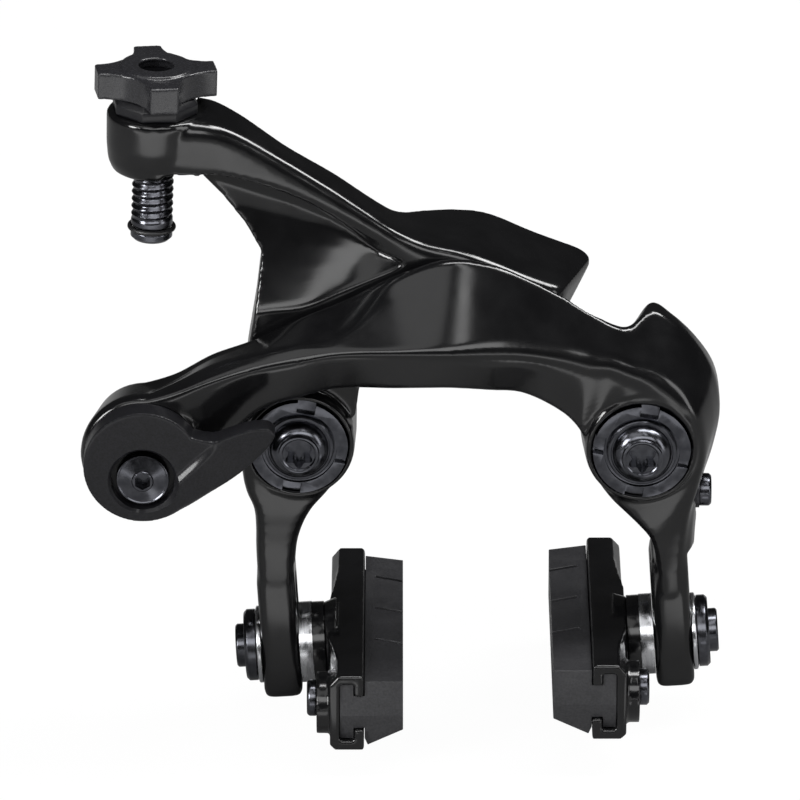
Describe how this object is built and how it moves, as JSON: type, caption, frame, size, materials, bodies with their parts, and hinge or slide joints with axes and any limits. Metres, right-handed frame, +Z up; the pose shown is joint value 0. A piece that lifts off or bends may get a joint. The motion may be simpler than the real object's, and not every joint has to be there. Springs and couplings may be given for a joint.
{
  "type": "rim brake caliper",
  "caption": "Direct mount dual pivot rim brake caliper: crossed forged arms, quick release lever, leaning cable adjuster, and slotted feet with cartridge brake shoes.",
  "frame": {"origin": "midway between the mounting bolts, on the mounting face", "axes": "+X across the bicycle, +Y into the frame or fork along the mounting bolts, +Z up"},
  "size_m": [0.1049, 0.0541, 0.1142],
  "materials": {
    "arm_black": "gloss",
    "lever_grey": "satin",
    "knob_grey": "satin",
    "plate_grey": "satin",
    "dark_steel": "satin",
    "bright_steel": "polished",
    "spring_steel": "satin",
    "holder_black": "gloss",
    "pad_rubber": "matte",
    "seal_rubber": "matte"
  },
  "bodies": {
    "mount": {"back_plate": "plate_grey", "pivot_tubes": "dark_steel", "ring_nuts": "dark_steel", "mounting_bolts": "dark_steel", "left_spring": "spring_steel", "right_spring": "spring_steel"},
    "left_arm": {"left_arm": "arm_black", "left_bush": "bright_steel", "adjuster_key": "dark_steel"},
    "adjuster_nut": {"adjuster_knob": "knob_grey", "adjuster_nut": "dark_steel"},
    "adjuster_barrel": {"adjuster_barrel": "dark_steel", "barrel_seal": "seal_rubber"},
    "right_arm": {"right_arm": "arm_black", "right_bush": "bright_steel", "link_pin": "dark_steel", "link_clip": "dark_steel", "lever_wave_washer": "bright_steel"},
    "link_roller": {"link_roller": "bright_steel"},
    "lever": {"quick_release_lever": "lever_grey", "cable_bolt": "dark_steel", "cable_clamp_plate": "bright_steel", "cable_clamp_nut": "dark_steel"},
    "centering_washer": {"centering_washer": "dark_steel"},
    "centering_screw": {"centering_screw": "dark_steel"},
    "left_carrier": {"left_seat_washer_outer": "bright_steel", "left_seat_washer_inner": "bright_steel"},
    "left_shoe_tilt": {"left_dome_washer": "holder_black", "left_shoe_bolt": "dark_steel"},
    "left_shoe": {"left_shoe_holder": "holder_black", "left_brake_pad": "pad_rubber", "left_pad_screw": "dark_steel"},
    "right_carrier": {"right_seat_washer_outer": "bright_steel", "right_seat_washer_inner": "bright_steel"},
    "right_shoe_tilt": {"right_dome_washer": "holder_black", "right_shoe_bolt": "dark_steel"},
    "right_shoe": {"right_shoe_holder": "holder_black", "right_brake_pad": "pad_rubber", "right_pad_screw": "dark_steel"}
  },
  "joints": [
    {"name": "right_arm_pivot", "type": "hinge", "parent": "mount", "child": "right_arm", "pos_m": [0.028, 0, 0], "axis": [0, 1, 0], "range_deg": [0, 10], "stiffness_Nm_per_rad": 0.6, "springref_deg": -28.65, "deforming": ["right_spring"]},
    {"name": "left_arm_pivot", "type": "hinge", "parent": "mount", "child": "left_arm", "pos_m": [-0.028, 0, 0], "axis": [0, -1, 0], "range_deg": [0, 10], "stiffness_Nm_per_rad": 0.6, "springref_deg": -28.65, "deforming": ["left_spring"]},
    {"name": "link_roller_spin", "type": "hinge", "parent": "right_arm", "child": "link_roller", "pos_m": [0, -0.015, 0.025], "axis": [0, 1, 0], "continuous": true},
    {"name": "lever_turn", "type": "hinge", "parent": "right_arm", "child": "lever", "pos_m": [-0.0532, -0.024, 0.0024], "axis": [0, 1, 0], "range_deg": [0, 100]},
    {"name": "adjuster_turn", "type": "hinge", "parent": "left_arm", "child": "adjuster_nut", "pos_m": [-0.051, -0.016, 0.0576], "axis": [-0.0384, 0, -0.9993], "range_deg": [0, 1440]},
    {"name": "barrel_slide", "type": "slide", "parent": "left_arm", "child": "adjuster_barrel", "axis": [0.0384, 0, 0.9993], "range_m": [0, 0.005]},
    {"name": "centering_turn", "type": "hinge", "parent": "centering_washer", "child": "centering_screw", "pos_m": [0.0371, -0.012, -0.0114], "axis": [1, 0, 0], "range_deg": [0, 1029]},
    {"name": "centering_slide", "type": "slide", "parent": "right_arm", "child": "centering_washer", "axis": [1, 0, 0], "range_m": [0, 0.002]},
    {"name": "left_shoe_height", "type": "slide", "parent": "left_arm", "child": "left_carrier", "axis": [-0.061, 0, 0.9981], "range_m": [0, 0.009]},
    {"name": "left_shoe_toe_in", "type": "hinge", "parent": "left_carrier", "child": "left_shoe_tilt", "pos_m": [-0.01587, -0.0115, -0.03866], "axis": [-0.061, 0, 0.9981], "range_deg": [-2, 2]},
    {"name": "left_shoe_pitch", "type": "hinge", "parent": "left_shoe_tilt", "child": "left_shoe", "pos_m": [-0.0312, -0.0115, -0.0396], "axis": [0.9981, 0, 0.061], "range_deg": [-8, 8]},
    {"name": "right_shoe_height", "type": "slide", "parent": "right_arm", "child": "right_carrier", "axis": [-0.068, 0, 0.9977], "range_m": [0, 0.009]},
    {"name": "right_shoe_toe_in", "type": "hinge", "parent": "right_carrier", "child": "right_shoe_tilt", "pos_m": [0.01848, -0.0115, -0.03864], "axis": [-0.068, 0, 0.9977], "range_deg": [-2, 2]},
    {"name": "right_shoe_pitch", "type": "hinge", "parent": "right_shoe_tilt", "child": "right_shoe", "pos_m": [0.0338, -0.0115, -0.0376], "axis": [-0.9977, 0, -0.068], "range_deg": [-8, 8]}
  ],
  "couplings": [
    {"joint": "left_arm_pivot", "follows": "right_arm_pivot", "ratio": 1},
    {"joint": "adjuster_turn", "follows": "barrel_slide", "rad_per_m": 5026.5},
    {"joint": "centering_turn", "follows": "centering_slide", "rad_per_m": 8975.9}
  ]
}
